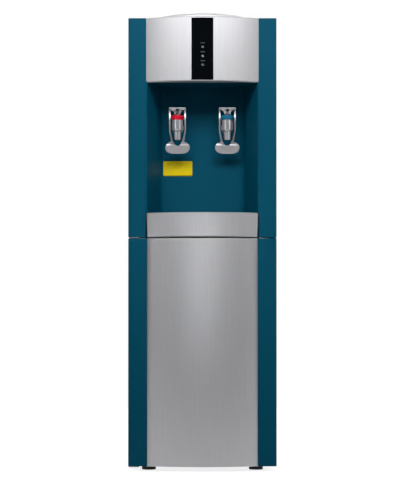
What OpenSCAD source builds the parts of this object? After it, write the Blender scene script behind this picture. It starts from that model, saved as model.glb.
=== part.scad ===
// Floor-standing water cooler with a hot and a cold tap, a pull-out drip tray and a cabinet
// under them. X runs to the right, Y to the back and Z up. The origin is on the floor, under
// the middle of the overall box.

/* [Cabinet] */
// Width over the side panels
body_w = 310; // [300:1:340]
// Depth from the flat front strips to the back panel
body_d = 276; // [270:1:300]
// Height of the cabinet top above the floor
body_top = 946; // [930:1:980]
// Ground clearance under the base pan
foot_h = 10; // [9:1:20]
// Height of the cabinet top above the seam over the door
upper_h = 458; // [450:1:466]
// Width of that seam
seam_gap = 2.7; // [2.5:0.1:4]
// Thickness of the sheet steel
sheet = 1; // [0.8:0.1:1.5]
// Thickness of the moulded walls
wall = 2.5; // [2:0.1:3]
// Radius of the upright outer edges
edge_r = 4; // [2:0.5:6]
// Width of the flanges that the side panels turn in at the front
flange_w = 16; // [12:1:18]
// Radius of a foot
foot_r = 15; // [12:0.5:18]
// Distance of the feet in from the sides
foot_in = 42; // [32:1:54]

/* [Upper front] */
// Depth of the upper front moulding
front_t = 31; // [29:1:36]
// How far the silver faces bow out in front of the strips
bow = 24; // [16:1:30]
// Half the width of the niche mouth
mouth_half = 115.7; // [108:0.1:118]
// Half the width of the control fascia
fascia_half = 117.7; // [116:0.1:120]
// Height of the cabinet top above the niche ceiling
fascia_drop = 134; // [130:1:146]
// Half the width of the flat back wall of the niche, measured to the virtual corners
niche_back_half = 87; // [80:0.5:95]
// Depth of the niche behind the strips
niche_depth = 96; // [90:1:100]
// Radius of the back corners of the niche
niche_corner_r = 14; // [8:1:20]
// Width of the black indicator window
window_w = 45.6; // [40:0.1:50]
// Distance between the indicators
lens_pitch = 18.6; // [14:0.1:22]
// Bevel along the edges of the silver faces
bevel = 2; // [1:0.1:3]

/* [Drip tray] */
// Height of the tray front
tray_front_h = 50.7; // [44:0.1:54]
// Draft of the sides of the tray front, from top to bottom
tray_draft = 2.3; // [1:0.1:4]
// Width of a slot in the grille
slot_w = 5; // [3:0.5:6]
// Distance between slots
slot_pitch = 11.5; // [9:0.5:14]

/* [Door] */
// Thickness of the door behind the strips
door_t = 28; // [26:0.5:28.5]
// Thickness of the silver skin
skin_t = 3; // [2:0.1:3.5]
// Distance of the hinge pins from the left side of the door
hinge_in_x = 8; // [7:0.5:10]
// Distance of the hinge pins behind the strips
hinge_in_y = 15; // [14:0.5:17]
// Radius of the hinge pins
hinge_pin_r = 3; // [2.5:0.1:3.5]

/* [Taps] */
// Distance of each tap from the middle plane
tap_x = 52.8; // [45:0.1:60]
// Distance of the tap axis behind the strips
tap_in = 50; // [48:0.5:52]
// Distance from the niche ceiling down to the top of the coloured ring
ring_drop = 64.3; // [57:0.1:72]
// Radius of the coloured ring
ring_r = 13.4; // [12.5:0.1:14]
// Radius of the tap body
barrel_r = 11.75; // [11:0.05:12.2]
// Radius of the nozzle
nozzle_r = 7.85; // [7:0.05:8.5]
// Radius of the valve stem
stem_r = 3; // [2.5:0.1:3.3]
// Width of the press plate at the paddle
paddle_w = 52; // [46:0.5:56]
// Height of the press plate
paddle_h = 28; // [24:0.5:30]
// Distance from the lever pin to the middle of the press plate
lever_drop = 74; // [70:0.5:78]
// Eccentricity of the lever's cam
cam_e = 6; // [5:0.1:7]
// Radius of the lever's cam
cam_r = 8.1; // [7.8:0.05:8.6]
// Full swing of the lever in degrees
lever_swing = 20; // [10:1:22]

/* [Tanks] */
// Radius of the bottle seat
seat_r = 110; // [104:1:112]
// Height of the bottle seat above the cabinet top
seat_h = 19; // [14:0.5:24]
// Distance of the seat and cold tank behind the middle of the overall depth
seat_y = 10; // [8:1:12]
// Thickness of the foam round the cold tank
foam_side = 22; // [20:0.5:30]
// Room between that foam and the rear face, for the refrigerant lines
line_room = 23; // [22:0.5:27]
// Radius of the hot tank
hot_r = 44; // [38:0.5:46]
// Height of the hot tank
hot_h = 128; // [100:1:132]

/* [Cooling] */
// Distance that the condenser stands out behind the back panel
rack_d = 30; // [26:0.5:34]
// Radius of the condenser tube
rack_tube_r = 2.5; // [2:0.1:3]
// Radius of the wires on the condenser
rack_wire_r = 0.8; // [0.6:0.05:1]
// Number of level runs of the condenser tube
rack_runs = 13; // [9:1:13]
// Distance between the runs
rack_pitch = 42; // [36:1:44]
// Number of wires on each face of the condenser
rack_wires = 24; // [12:1:24]
// Distance between the wires
rack_wire_pitch = 8; // [6:0.5:8]
// Radius of the compressor shell
comp_r = 54; // [48:0.5:55]
// Height of the compressor shell
comp_h = 138; // [120:1:140]

/* [Hidden] */
$fn = 96;

teal = [0.02, 0.29, 0.38];
silver = [0.74, 0.75, 0.77];
chrome = [0.82, 0.83, 0.85];
dark = [0.03, 0.04, 0.06];
white = [0.92, 0.93, 0.94];
zinc = [0.68, 0.70, 0.71];
rubber = [0.08, 0.08, 0.09];
copper = [0.72, 0.42, 0.27];

// Planes of the cabinet, front to back. Moulded pieces clear each other by a gap, and turned
// ones by a fit
gap = 0.3;
fit = 0.05;
total_d = bow + body_d + rack_d;
strip_y = bow - total_d / 2;
back_y = strip_y + body_d;
shell_y = strip_y + front_t;
door_back = strip_y + door_t;
side_x = body_w / 2;
inner_x = side_x - sheet;
foot_x = side_x - foot_in;
foam_r = back_y - line_room - seat_y;
cold_r = foam_r - foam_side;
comp_y = back_y - comp_r - 6;

// The bowed faces are parts of one upright cylinder
bow_r = (mouth_half * mouth_half + bow * bow) / (2 * bow);
bow_cy = strip_y - bow + bow_r;

// Heights. The upper front hangs from the cabinet top, and the door takes what is left
seam_z = body_top - upper_h;
niche_top = body_top - fascia_drop;
ring_top = niche_top - ring_drop;
door_z0 = foot_h;
door_z1 = seam_z - seam_gap;
floor_top = seam_z + wall;
tray_top = seam_z + gap + tray_front_h;
cover_t = 6;
panel_top = body_top - cover_t;
shelf_z = seam_z - 10;
tank_shelf_z = niche_top + wall;

// Niche in plan: slanted sides, a flat back and rounded back corners
niche_back_y = strip_y + niche_depth;
niche_tilt = atan((mouth_half - niche_back_half) / niche_depth);
niche_bend = 90 + niche_tilt;
niche_tangent = niche_corner_r / tan(niche_bend / 2);
niche_corner_x = niche_back_half - niche_tangent;
niche_corner_y = niche_back_y - niche_corner_r;

// Box between two opposite corners
module block(lo, hi) {
    translate(lo) cube(hi - lo);
}

// Round bars along one axis
module bar_x(x0, x1, y, z, r) {
    translate([x0, y, z]) rotate([0, 90, 0]) cylinder(r = r, h = x1 - x0);
}
module bar_y(y0, y1, x, z, r) {
    translate([x, y0, z]) rotate([-90, 0, 0]) cylinder(r = r, h = y1 - y0);
}
module bar_z(z0, z1, x, y, r) {
    translate([x, y, z0]) cylinder(r = r, h = z1 - z0);
}

// A profile drawn in Y and Z, pulled along X
module along_x(x0, x1) {
    translate([x0, 0, 0]) rotate([90, 0, 90]) linear_extrude(x1 - x0) children();
}

// A profile drawn in X and Z, pulled along Y
module along_y(y0, y1) {
    translate([0, y1, 0]) rotate([90, 0, 0]) linear_extrude(y1 - y0) children();
}

// The same thing left and right
module both_sides() {
    children();
    mirror([1, 0, 0]) children();
}

// Rectangle with round corners
module round_rect(lo, hi, r) {
    translate([lo[0] + r, lo[1]]) square([hi[0] - lo[0] - 2 * r, hi[1] - lo[1]]);
    translate([lo[0], lo[1] + r]) square([hi[0] - lo[0], hi[1] - lo[1] - 2 * r]);
    for (x = [lo[0] + r, hi[0] - r], y = [lo[1] + r, hi[1] - r]) translate([x, y]) circle(r);
}

// Flat-ended oval made of two end circles and two wide arcs
module oval(w, h, end_r) {
    cx = w / 2 - end_r;
    rise = h / 2 - end_r;
    drop = (cx * cx - rise * rise) / (2 * rise);
    wide_r = drop + h / 2;
    touch_x = cx * wide_r / (wide_r - end_r);
    intersection() {
        translate([0, -drop]) circle(wide_r);
        translate([0, drop]) circle(wide_r);
        square([2 * touch_x, h + 2], center = true);
    }
    for (x = [-cx, cx]) translate([x, 0]) circle(end_r);
}

// Solid with a bowed front, bevelled along its upright and level edges
module bowed(half, back, z0, z1, low_bevel = bevel) {
    h = z1 - z0;
    cut = 3 * bevel;
    far = strip_y - bow - 5;
    intersection() {
        translate([0, bow_cy, z0]) {
            cylinder(r1 = bow_r - low_bevel, r2 = bow_r, h = low_bevel);
            translate([0, 0, low_bevel]) cylinder(r = bow_r, h = h - low_bevel - bevel);
            translate([0, 0, h - bevel]) cylinder(r1 = bow_r, r2 = bow_r - bevel, h = bevel);
        }
        translate([0, 0, z0]) linear_extrude(h) polygon([
            [-half, back], [-half, strip_y + bevel / 2],
            [-half + cut, strip_y + bevel / 2 - cut], [-half + cut, far],
            [half - cut, far], [half - cut, strip_y + bevel / 2 - cut],
            [half, strip_y + bevel / 2], [half, back]
        ]);
    }
}

// Room behind a bowed skin
module bow_room(half, back, z0, z1, skin = skin_t) {
    intersection() {
        translate([0, bow_cy, z0]) cylinder(r = bow_r - skin, h = z1 - z0);
        block([-half, strip_y - bow, z0], [half, back, z1]);
    }
}

// The niche moved out by an offset, between two heights, cut off square at a front plane
niche_arc_steps = 12;
module niche_solid(out, front, z0, z1) {
    arc = [for (i = [0 : niche_arc_steps])
        let (a = niche_tilt + (90 - niche_tilt) * i / niche_arc_steps)
        [niche_corner_x, niche_corner_y] + (niche_corner_r + out) * [cos(a), sin(a)]];
    mouth = [arc[0][0] + (arc[0][1] - front) * tan(niche_tilt), front];
    right = concat([mouth], arc);
    left = [for (i = [len(right) - 1 : -1 : 0]) [-right[i][0], right[i][1]]];
    translate([0, 0, z0]) linear_extrude(z1 - z0) polygon(concat(right, left));
}

// Pipe through a list of points, with a round bend at each
function unit(v) = v / norm(v);
module aim(from, z_axis, x_axis) {
    y_axis = cross(z_axis, x_axis);
    multmatrix([
        [x_axis[0], y_axis[0], z_axis[0], from[0]],
        [x_axis[1], y_axis[1], z_axis[1], from[1]],
        [x_axis[2], y_axis[2], z_axis[2], from[2]]
    ]) children();
}
module pipe(points, r, bend) {
    last = len(points) - 1;
    for (i = [0 : last - 1]) {
        a = points[i];
        b = points[i + 1];
        run = unit(b - a);
        side = abs(run[2]) > 0.5 ? [1, 0, 0] : [0, 0, 1];
        start = i == 0 ? 0 : bend;
        end = i == last - 1 ? 0 : bend;
        aim(a + run * start, run, side) cylinder(r = r, h = norm(b - a) - start - end);
    }
    for (i = [1 : 1 : last - 1]) {
        a = unit(points[i] - points[i - 1]);
        b = unit(points[i + 1] - points[i]);
        aim(points[i] + (b - a) * bend, cross(-b, a), -b)
            rotate_extrude(angle = 90) translate([bend, 0]) circle(r);
    }
}

// Round wire or tube wound as a helix round Z, in one piece
module helix(mid_r, wire_r, pitch, turns, steps, sides) {
    rings = turns * steps;
    points = [for (i = [0 : rings], j = [0 : sides - 1])
        let (a = 360 * i / steps, b = 360 * j / sides, r = mid_r + wire_r * cos(b))
        [r * cos(a), r * sin(a), pitch * i / steps + wire_r * sin(b)]];
    around = [for (i = [0 : rings - 1], j = [0 : sides - 1])
        let (k = (j + 1) % sides, a = i * sides, b = a + sides)
        each [[a + j, a + k, b + k], [a + j, b + k, b + j]]];
    first = [for (j = [1 : sides - 2]) [0, j + 1, j]];
    top = rings * sides;
    final = [for (j = [1 : sides - 2]) [top, top + j, top + j + 1]];
    polyhedron(points, concat(around, first, final));
}

// Base pan of folded sheet steel, with holes for the foot studs
pan_h = 20;
stud_r = 4;
foot_y = [shell_y + 18, back_y - 30];
module base_pan() {
    color(zinc) difference() {
        block([-inner_x, shell_y, foot_h], [inner_x, back_y, foot_h + pan_h]);
        block([-inner_x + sheet, shell_y + sheet, foot_h + sheet],
            [inner_x - sheet, back_y - sheet, foot_h + pan_h + 1]);
        both_sides() for (y = foot_y)
            bar_z(foot_h - 1, foot_h + sheet + 1, foot_x, y, stud_r + gap);
    }
}

// Four feet, each a moulded disc on a steel stud
module feet() {
    color(rubber) both_sides() for (y = foot_y) translate([foot_x, y, 0]) rotate_extrude()
        polygon([
            [0, 0], [foot_r - 1, 0], [foot_r, 1], [foot_r - 0.5, 6], [foot_r - 4, 7.5],
            [10, foot_h], [stud_r, foot_h], [stud_r, foot_h + 14], [0, foot_h + 14]
        ]);
}

// Side panel: one sheet with its front and rear edges turned in
module side_panel(side) {
    color(teal) mirror([side < 0 ? 1 : 0, 0, 0]) {
        difference() {
            block([side_x - flange_w, shell_y, foot_h], [side_x, back_y - sheet, panel_top]);
            block([side_x - flange_w - 1, shell_y + sheet, foot_h - 1],
                [inner_x, back_y - 2 * sheet, panel_top + 1]);
            block([side_x - flange_w - 1, shell_y - 1, foot_h - 1],
                [inner_x, back_y, foot_h + pan_h]);
            for (z = screw_z) bar_y(back_y - 5, back_y, screw_x, z, screw_r + fit);
        }
    }
}
module left_side_panel() {
    side_panel(-1);
}
module right_side_panel() {
    side_panel(1);
}

// Back panel with louvres, and holes for what passes through it
bay_top = 205;
panel_x = inner_x - 1;
switch_x = [-side_x + 51, -side_x + 83];
switch_z = panel_top - 60;
switch_w = 22;
switch_h = 30;
knob_x = side_x - 51;
drain_z = bay_top + 16;
louvre_w = 46;
louvre_h = 3.5;
louvre_pitch = 9;
louvre_x = 66;
louvre_z0 = panel_top - 128;
screw_r = 1.6;
screw_x = panel_x - 7;
screw_z = [for (i = [0 : 3]) bay_top + 20 + (panel_top - bay_top - 36) * i / 3];
module back_panel() {
    color(zinc) difference() {
        block([-panel_x, back_y - sheet, bay_top], [panel_x, back_y, panel_top]);
        for (x = [-louvre_x, 0, louvre_x], i = [0 : 5])
            translate([x, back_y, louvre_z0 + louvre_pitch * i])
                block([-louvre_w / 2, -5, 0], [louvre_w / 2, 1, louvre_h]);
        for (x = switch_x)
            block([x - switch_w / 2 + 2, back_y - 5, switch_z - switch_h / 2 + 2],
                [x + switch_w / 2 - 2, back_y + 1, switch_z + switch_h / 2 - 2]);
        bar_y(back_y - 5, back_y + 1, knob_x, switch_z, 5);
        bar_y(back_y - 5, back_y + 1, drain_x, drain_z, drain_r + gap);
        both_sides() for (z = screw_z)
            bar_y(back_y - 5, back_y + 1, screw_x, z, screw_r + 2 * fit);
    }
}

// Top cover: a shallow moulding that rests on the side panels
cover_hole_r = 98;
module top_cover() {
    color(white) difference() {
        translate([0, 0, panel_top]) linear_extrude(cover_t)
            round_rect([-side_x, shell_y], [side_x, back_y], edge_r);
        block([-side_x + wall, shell_y + wall, panel_top - 1],
            [side_x - wall, back_y - wall, body_top - wall]);
        bar_z(panel_top - 1, body_top + 1, 0, seat_y, cover_hole_r);
    }
}

// Bottle seat: a raised ring that carries the bottle, a cone that guides its neck, and a well
// with the spike that opens the cap
well_r = 35;
well_z = body_top - 31;
spike_r = 9;
spike_h = 34;
module bottle_seat() {
    top = body_top + seat_h;
    color(white) translate([0, seat_y, 0]) {
        rotate_extrude() {
            difference() {
                union() {
                    polygon([
                        [seat_r - 3, body_top], [seat_r, body_top], [seat_r - 1, top - 5],
                        [seat_r - 6, top], [seat_r - 12, top], [seat_r - 16, top - 8],
                        [well_r, body_top - 15], [well_r, well_z], [well_r + 3, well_z],
                        [well_r + 3, body_top - 17.4], [seat_r - 14, top - 10.8],
                        [seat_r - 10.4, top - 3], [seat_r - 6.4, top - 3],
                        [seat_r - 4, top - 6]
                    ]);
                    translate([seat_r - 6, top - 5]) circle(5);
                }
                translate([seat_r - 6.5, top - 5.5]) circle(2.4);
            }
        }
        difference() {
            bar_z(well_z, well_z + 3, 0, 0, well_r + 1);
            for (a = [30, 150, 270]) rotate(a) bar_z(well_z - 1, well_z + 4, 21, 0, 8);
        }
        difference() {
            union() {
                bar_z(well_z, well_z + spike_h, 0, 0, spike_r);
                translate([0, 0, well_z + spike_h]) cylinder(r1 = spike_r, r2 = 3, h = 8);
            }
            for (a = [0, 120, 240]) rotate(a)
                block([spike_r - 3, -2, well_z + 8], [spike_r + 1, 2, well_z + 28]);
        }
    }
}

// Upper front: the moulding with the two strips, the bed of the fascia and the tray bay
fascia_bed = strip_y + 7;
stile_in = mouth_half + wall / cos(niche_tilt);
module upper_front() {
    color(teal) difference() {
        translate([0, 0, seam_z]) linear_extrude(body_top - seam_z) {
            round_rect([-side_x, strip_y], [side_x, shell_y], edge_r);
            translate([-side_x, shell_y - edge_r - 1]) square([body_w, edge_r + 1]);
        }
        block([-fascia_half, strip_y - 1, fascia_z0], [fascia_half, fascia_bed, body_top + 1]);
        block([-stile_in, strip_y - 1, floor_top], [stile_in, shell_y + 1, tank_shelf_z]);
        block([-stile_in, strip_y - 1, seam_z - 1], [stile_in, fascia_bed, floor_top + 1]);
        block([-fascia_half + 6, fascia_bed + wall, tank_shelf_z + wall],
            [fascia_half - 6, shell_y + 1, body_top - wall]);
        both_sides() block([stile_in + wall, strip_y + wall, seam_z + wall],
            [side_x - wall, shell_y + 1, body_top - wall]);
    }
}

// Niche: ceiling, slanted sides, rounded back corners, back wall and floor
tap_y = strip_y + tap_in;
shank_z = ring_top - 20.7;
thread_r = 6;
module tap_niche() {
    color(teal) difference() {
        niche_solid(wall, strip_y, seam_z, tank_shelf_z);
        niche_solid(0, strip_y - 1, floor_top, niche_top);
        block([-side_x, strip_y - 1, seam_z - 1], [side_x, shell_y, floor_top]);
        block([-side_x, strip_y - 1, fascia_z0], [side_x, fascia_bed, tank_shelf_z + 1]);
        block([-side_x, strip_y - 1, floor_top - 1], [side_x, tray_front_y + gap, tray_top + gap]);
        both_sides() bar_y(niche_back_y - 1, niche_back_y + wall + 1, tap_x, shank_z,
            thread_r + gap);
    }
}

// Control fascia, with the recess of the indicator window
window_sink = 1.2;
fascia_z0 = niche_top - 0.4;
window_z0 = fascia_z0 + 2;
window_z1 = body_top - 3;
module control_fascia() {
    color(silver) difference() {
        bowed(fascia_half, fascia_bed, fascia_z0, body_top);
        bow_room(fascia_half - 5, fascia_bed + 1, fascia_z0 + 9, body_top - 6);
        intersection() {
            block([-window_w / 2, strip_y - bow - 5, window_z0],
                [window_w / 2, fascia_bed - 4, window_z1]);
            difference() {
                bar_z(window_z0, window_z1, 0, bow_cy, bow_r + 5);
                bar_z(window_z0 - 1, window_z1 + 1, 0, bow_cy, bow_r - window_sink - skin_t);
            }
        }
    }
}

// Window: a curved black pane that fills the recess, with slots for the indicator lenses
lens_w = 9;
lens_h = 1.8;
lens_x = 0.7;
lens_z0 = window_z0 + 38.9;
module indicator_window() {
    color(dark) difference() {
        bar_z(window_z0, window_z1, 0, bow_cy, bow_r - window_sink);
        bar_z(window_z0 - 1, window_z1 + 1, 0, bow_cy, bow_r - window_sink - skin_t);
        block([-bow_r - 1, fascia_bed - 4, window_z0 - 1],
            [bow_r + 1, bow_cy + bow_r, window_z1 + 1]);
        both_sides() block([window_w / 2, strip_y - bow - 5, window_z0 - 1],
            [bow_r + 1, fascia_bed, window_z1 + 1]);
        for (i = [0 : 2]) block([lens_x - lens_w / 2, strip_y - bow - 5, lens_z0 + lens_pitch * i],
            [lens_x + lens_w / 2, fascia_bed, lens_z0 + lens_h + lens_pitch * i]);
    }
}

// Three clear lenses over the lamps of the control board
board_y = fascia_bed + wall + 6;
module indicator_lenses() {
    front = bow_cy - bow_r + window_sink - 0.1;
    color("palegreen") for (i = [0 : 2])
        block([lens_x - lens_w / 2, front, lens_z0 + lens_pitch * i],
            [lens_x + lens_w / 2, front + skin_t + 3, lens_z0 + lens_h + lens_pitch * i]);
}

// Control board on four posts behind the bed of the fascia, with its lamps and driver blocks
board_half = 24;
board_z0 = window_z0 + 24;
board_h = 82;
module control_board() {
    color("darkgreen") {
        block([-board_half, board_y, board_z0], [board_half, board_y + 1.6, board_z0 + board_h]);
        for (x = [-board_half + 4, board_half - 4], z = [board_z0 + 4, board_z0 + board_h - 4])
            bar_y(fascia_bed + wall, board_y, x, z, 2.5);
        block([-18, board_y + 1.6, board_z0 + 12], [-2, board_y + 11, board_z0 + 30]);
        block([4, board_y + 1.6, board_z0 + 12], [18, board_y + 9, board_z0 + 24]);
        block([-20, board_y + 1.6, board_z0 + 50], [16, board_y + 8, board_z0 + 60]);
    }
}

// Partition over the cabinet: a shelf of sheet steel with edges turned down and a lip in front
chase_y = back_y - 36;
module partition_shelf() {
    color(zinc) {
        block([-inner_x, shell_y + sheet, shelf_z], [inner_x, chase_y, shelf_z + sheet]);
        both_sides() block([inner_x - sheet, shell_y + sheet, shelf_z - 12],
            [inner_x, chase_y, shelf_z]);
        block([-side_x + flange_w, shell_y, shelf_z], [side_x - flange_w, shell_y + sheet, seam_z]);
    }
}

// Shelf that carries the cold tank
tank_shelf_back = seat_y + foam_r + 2;
cold_out = [tap_x, 22];
feed_out = [-45, 40];
module tank_shelf() {
    color(zinc) difference() {
        union() {
            block([-inner_x, shell_y + sheet, tank_shelf_z],
                [inner_x, tank_shelf_back, tank_shelf_z + sheet]);
            both_sides() block([inner_x - sheet, shell_y + sheet, tank_shelf_z - 12],
                [inner_x, tank_shelf_back, tank_shelf_z]);
        }
        for (p = [cold_out, feed_out])
            bar_z(tank_shelf_z - 1, tank_shelf_z + sheet + 1, p[0], p[1], 9);
    }
}

// Liner of the cabinet, stepped over the compressor bay, with a ledge each side for the shelf
liner_t = 2;
liner_half = side_x - 28;
liner_z0 = 40;
liner_z1 = shelf_z - 16;
step_z = 196;
low_back = comp_y - comp_r - 4;
liner_back = chase_y - 8;
ledge_z = round(step_z + 0.39 * (liner_z1 - step_z));
module cabinet_liner() {
    in_half = liner_half - liner_t;
    color(white) {
        difference() {
            union() {
                block([-liner_half, shell_y, liner_z0], [liner_half, low_back, liner_z1]);
                block([-liner_half, shell_y, step_z], [liner_half, liner_back, liner_z1]);
                block([-side_x + flange_w, shell_y, foot_h + pan_h + 1],
                    [side_x - flange_w, shell_y + liner_t, shelf_z]);
            }
            block([-in_half, shell_y - 1, liner_z0 + liner_t],
                [in_half, low_back - liner_t, liner_z1 - liner_t]);
            block([-in_half, shell_y - 1, step_z + liner_t],
                [in_half, liner_back - liner_t, liner_z1 - liner_t]);
        }
        both_sides() block([in_half - 5, shell_y + 12, ledge_z - 5],
            [in_half, liner_back - 4, ledge_z]);
    }
}

// Wire shelf: two side rails, two cross rails and a row of wires laid on them
wire_r = 1.5;
rail_r = 2.5;
cross_rail_r = 2.1;
shelf_wires = 13;
module cabinet_shelf() {
    half = liner_half - liner_t - rail_r - 0.5;
    y0 = shell_y + 16;
    y1 = liner_back - 8;
    z = ledge_z + rail_r;
    color(white) {
        both_sides() bar_y(y0, y1, half, z, rail_r);
        for (y = [y0 + rail_r, y1 - rail_r]) bar_x(-half, half, y, z, cross_rail_r);
        for (i = [0 : shelf_wires - 1])
            bar_y(y0 + 1, y1 - 1, (i - (shelf_wires - 1) / 2) * 2 * half / (shelf_wires + 1),
                z + rail_r, wire_r);
    }
}

// Door hinges: a folded steel bracket above and one below, each with a pin
plate_t = 2;
tab_t = 1.5;
hinge_x = -side_x + hinge_in_x;
hinge_y = strip_y + hinge_in_y;
pin_in = 12;
module hinge_bracket(plate_z, tab_z0, tab_z1, pin_z0, pin_z1) {
    block([-side_x + 1, hinge_y - 8, plate_z], [hinge_x + 14, shell_y, plate_z + plate_t]);
    block([-side_x + 1, shell_y - tab_t, tab_z0], [-side_x + flange_w, shell_y, tab_z1]);
    bar_z(pin_z0, pin_z1, hinge_x, hinge_y, hinge_pin_r);
}
module hinge_brackets() {
    top_plate = seam_z - plate_t;
    low_plate = door_z0 - 0.5 - plate_t;
    color(zinc) {
        hinge_bracket(top_plate, top_plate - 30, seam_z, door_z1 - pin_in, top_plate + 1);
        hinge_bracket(low_plate, low_plate, low_plate + 32, low_plate + 1, door_z0 + pin_in);
    }
}

// Cold tank: a spun steel vessel with an open mouth and two outlet stubs
foam_z0 = tank_shelf_z + sheet;
foam_t = 14;
cold_z0 = foam_z0 + foam_t;
cold_z1 = body_top - 22;
mouth_r = 44;
stub_r = 4;
steel_t = 0.8;
module cold_tank() {
    color(zinc) {
        translate([0, seat_y, 0]) rotate_extrude() polygon([
            [0, cold_z0], [cold_r - 4, cold_z0], [cold_r, cold_z0 + 4], [cold_r, cold_z1 - 4],
            [cold_r - 4, cold_z1], [mouth_r, cold_z1], [mouth_r, cold_z1 + 6],
            [mouth_r - steel_t, cold_z1 + 6], [mouth_r - steel_t, cold_z1 - steel_t],
            [cold_r - 4, cold_z1 - steel_t], [cold_r - steel_t, cold_z1 - 4],
            [cold_r - steel_t, cold_z0 + 4], [cold_r - 4, cold_z0 + steel_t],
            [0, cold_z0 + steel_t]
        ]);
        for (p = [cold_out, feed_out])
            bar_z(foam_z0 - 8, cold_z0 + 0.4, p[0], p[1], stub_r);
    }
}

// Foam round the cold tank and its coil, open at the top
coil_r = 3;
coil_steps = 24;
coil_mid = (cold_r + coil_r + gap) / cos(180 / coil_steps);
coil_turns = 7;
coil_pitch = 10.5;
module tank_insulation() {
    color("ivory") difference() {
        bar_z(foam_z0, cold_z1 + 4, 0, seat_y, foam_r);
        bar_z(cold_z0, cold_z1 + 5, 0, seat_y, coil_mid + coil_r + 0.4);
        for (p = [cold_out, feed_out]) bar_z(foam_z0 - 1, cold_z0 + 1, p[0], p[1], stub_r + 0.2);
        bar_y(seat_y, seat_y + foam_r + 1, 0, suction_z, line_r + 0.2);
        bar_y(seat_y, seat_y + foam_r + 1, capillary_x, capillary_z, capillary_r + 0.2);
    }
}

// Evaporator: copper tube wound round the cold tank
coil_z0 = cold_z0 + 8;
module evaporator_coil() {
    color(copper) translate([0, seat_y, coil_z0])
        helix(coil_mid, coil_r, coil_pitch, coil_turns, coil_steps, 6);
}

// Hot tank: a closed vessel with three stubs and a clamped heater band, on a folded stand
hot_x = -60;
hot_y = 42;
drain_x = hot_x;
hot_z1 = ring_top - 49;
hot_z0 = hot_z1 - hot_h;
module hot_tank() {
    color(zinc) {
        translate([hot_x, hot_y, 0]) rotate_extrude() polygon([
            [0, hot_z0], [hot_r - 5, hot_z0], [hot_r, hot_z0 + 5], [hot_r, hot_z0 + 30],
            [hot_r + 2, hot_z0 + 30], [hot_r + 2, hot_z0 + 58], [hot_r, hot_z0 + 58],
            [hot_r, hot_z1 - 5], [hot_r - 5, hot_z1], [0, hot_z1]
        ]);
        bar_z(hot_z1 - 1, hot_z1 + 12, -tap_x, hot_out_y, stub_r);
        bar_z(hot_z1 - 1, hot_z1 + 12, feed_out[0], feed_out[1], stub_r);
        bar_z(hot_z0 - 12, hot_z0 + 1, drain_x, hot_y, stub_r);
    }
}
hot_out_y = 16;
module hot_tank_stand() {
    half = hot_r + 4;
    color(zinc) difference() {
        block([hot_x - half, hot_y - half + 8, shelf_z + sheet],
            [hot_x + half, hot_y + half - 8, hot_z0]);
        block([hot_x - half + 1.5, hot_y - half + 7, shelf_z + sheet - 1],
            [hot_x + half - 1.5, hot_y + half - 7, hot_z0 - 1.5]);
        bar_z(hot_z0 - 3, hot_z0 + 1, drain_x, hot_y, stub_r + 4);
    }
}

// Silicone hoses: cold tank to cold tap, hot tank to hot tap, cold tank to hot tank, and the
// drain of the hot tank
hose_in = 4.05;
hose_out = 6.5;
hose_bend = 12;
barb_y = niche_back_y + 30;
drain_r = 8;
drain_barb = 8;
drain_y = back_y - 5 - drain_barb - hose_bend;
module hose(points) {
    last = len(points) - 1;
    start = points[0] - unit(points[1] - points[0]);
    end = points[last] + unit(points[last] - points[last - 1]);
    inner = [for (i = [0 : last]) i == 0 ? start : i == last ? end : points[i]];
    difference() {
        pipe(points, hose_out, hose_bend);
        pipe(inner, hose_in, hose_bend);
    }
}
module water_hoses() {
    low = foam_z0 - sheet - 1;
    color("whitesmoke") {
        hose([[tap_x, barb_y - 9, shank_z], [tap_x, cold_out[1], shank_z],
            [tap_x, cold_out[1], low]]);
        hose([[-tap_x, barb_y - 9, shank_z], [-tap_x, hot_out_y, shank_z],
            [-tap_x, hot_out_y, hot_z1 + 1]]);
        hose([[feed_out[0], feed_out[1], low], [feed_out[0], feed_out[1], hot_z1 + 1]]);
        hose([[drain_x, hot_y, hot_z0 - 2], [drain_x, hot_y, hot_z0 - 40],
            [drain_x, drain_y, hot_z0 - 40], [drain_x, drain_y, drain_z],
            [drain_x, drain_y + hose_bend + drain_barb, drain_z]]);
    }
}

// Drain outlet: a barbed fitting through the back panel, closed by a ribbed cap
module drain_cap() {
    cap_r = drain_r + 3;
    color(white) {
        bar_y(drain_y + hose_bend + 1, back_y - 4, drain_x, drain_z, stub_r);
        bar_y(back_y - 4, back_y - sheet, drain_x, drain_z, cap_r);
        bar_y(back_y - sheet, back_y + 4, drain_x, drain_z, drain_r);
        difference() {
            bar_y(back_y + 0.1, back_y + 10, drain_x, drain_z, cap_r);
            for (a = [0 : 30 : 330]) translate([drain_x, 0, drain_z]) rotate([0, a, 0])
                bar_y(back_y - 1, back_y + 11, cap_r + 0.8, 0, 1.6);
        }
    }
}

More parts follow.
